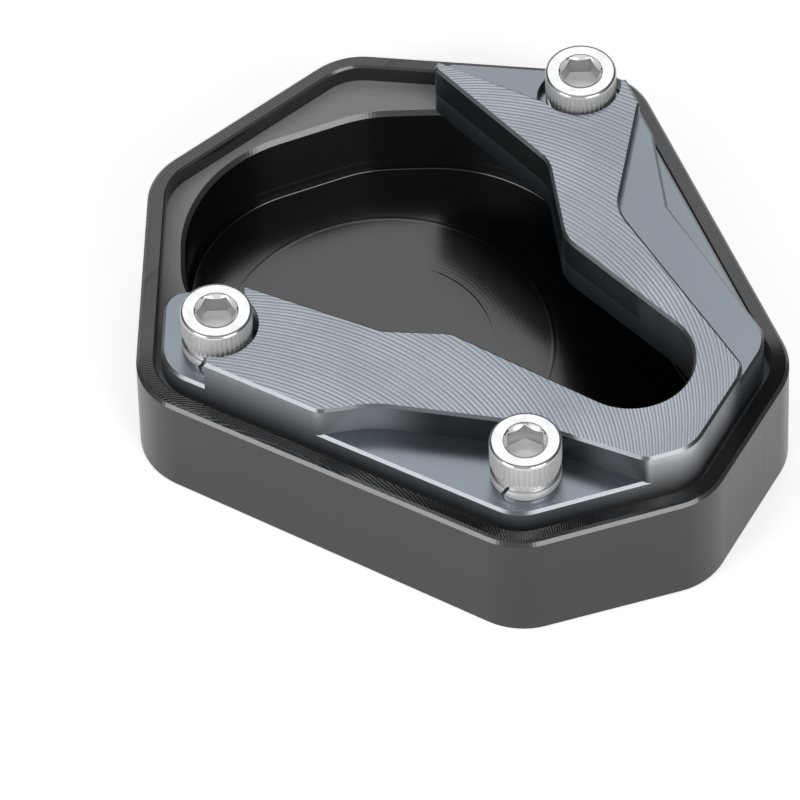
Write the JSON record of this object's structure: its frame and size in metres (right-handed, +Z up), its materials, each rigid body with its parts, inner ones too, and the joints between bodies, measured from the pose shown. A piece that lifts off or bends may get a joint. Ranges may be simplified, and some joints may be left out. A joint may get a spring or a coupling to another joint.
{
  "type": "kickstand foot enlarger",
  "caption": "Wedge shaped seven sided ground plate with a deep foot pocket and a screwed-on hook shaped clamp plate that grips a motorcycle side stand's foot.",
  "frame": {"origin": "centre of the seven sided outline on the flat underside", "axes": "+Z up from the ground, +X to the right when the slot's open end points to the back left, +Y to the back"},
  "size_m": [0.0911, 0.0905, 0.0272],
  "materials": {
    "black_anodised": "black anodised, machined",
    "grey_anodised": "blue grey anodised, fly cut on top",
    "screw_steel": "bright plated",
    "washer_steel": "bright plated"
  },
  "bodies": {
    "root": {"base_pad": "black_anodised", "clamp_plate": "grey_anodised", "cap_screw_left": "screw_steel", "lock_washer_left": "washer_steel", "cap_screw_front": "screw_steel", "lock_washer_front": "washer_steel", "cap_screw_rear": "screw_steel", "lock_washer_rear": "washer_steel"}
  },
  "joints": []
}
